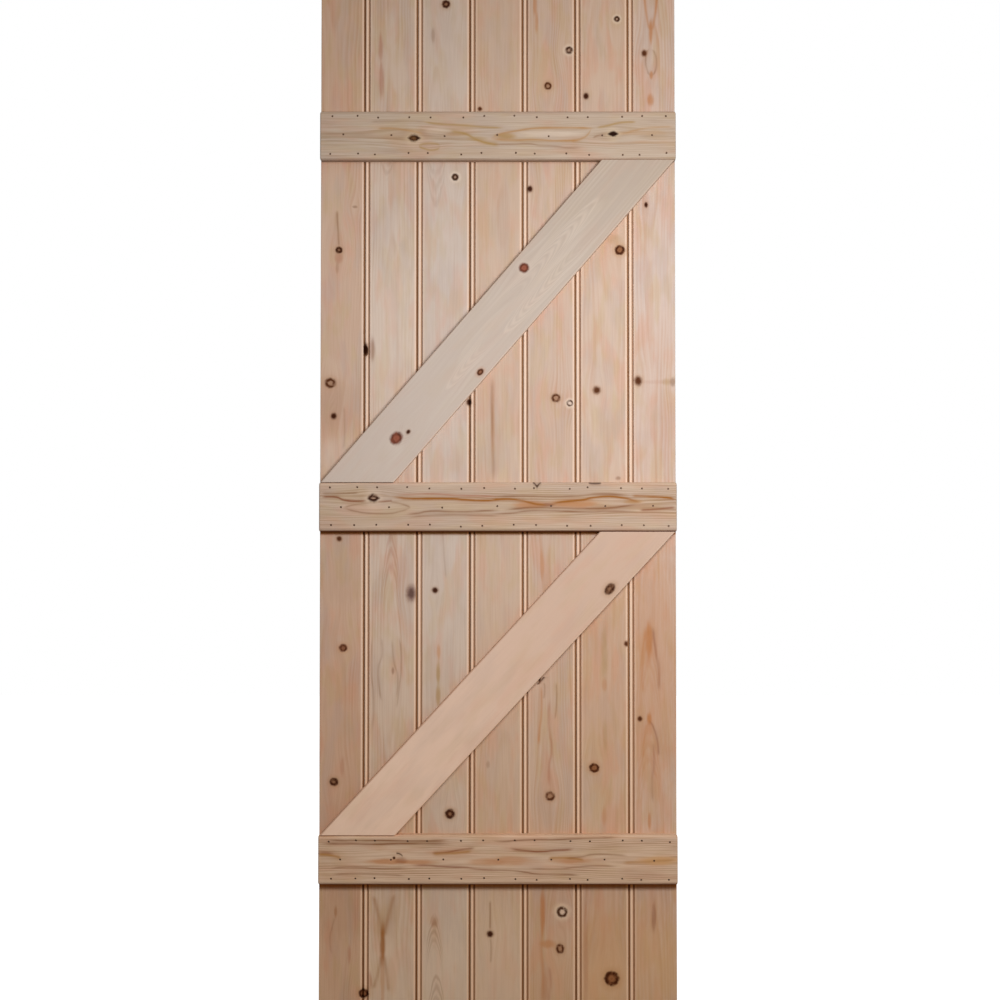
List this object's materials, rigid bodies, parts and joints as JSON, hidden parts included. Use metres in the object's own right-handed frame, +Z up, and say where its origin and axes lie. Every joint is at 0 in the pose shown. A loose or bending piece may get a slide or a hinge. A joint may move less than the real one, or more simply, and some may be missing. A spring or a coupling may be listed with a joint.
{
  "type": "ledged and braced door leaf",
  "caption": "Plain pine door leaf of upright tongued, grooved and beaded boards, nailed to cross ledges and stiffened by slanting braces that rise from the hanging edge.",
  "frame": {"origin": "foot of the hanging edge, at half the boards' thickness", "axes": "+X across the leaf from the hanging edge to the closing edge, +Y through it away from the ledges, +Z up"},
  "size_m": [0.686, 0.035, 1.981],
  "materials": {
    "board_pine": "matte",
    "ledge_pine": "matte",
    "brace_pine": "matte"
  },
  "bodies": {
    "root": {"hanging_edge_board": "board_pine", "board_2": "board_pine", "board_3": "board_pine", "board_4": "board_pine", "board_5": "board_pine", "board_6": "board_pine", "closing_edge_board": "board_pine", "top_ledge": "ledge_pine", "middle_ledge": "ledge_pine", "bottom_ledge": "ledge_pine", "upper_brace": "brace_pine", "lower_brace": "brace_pine"}
  },
  "joints": []
}
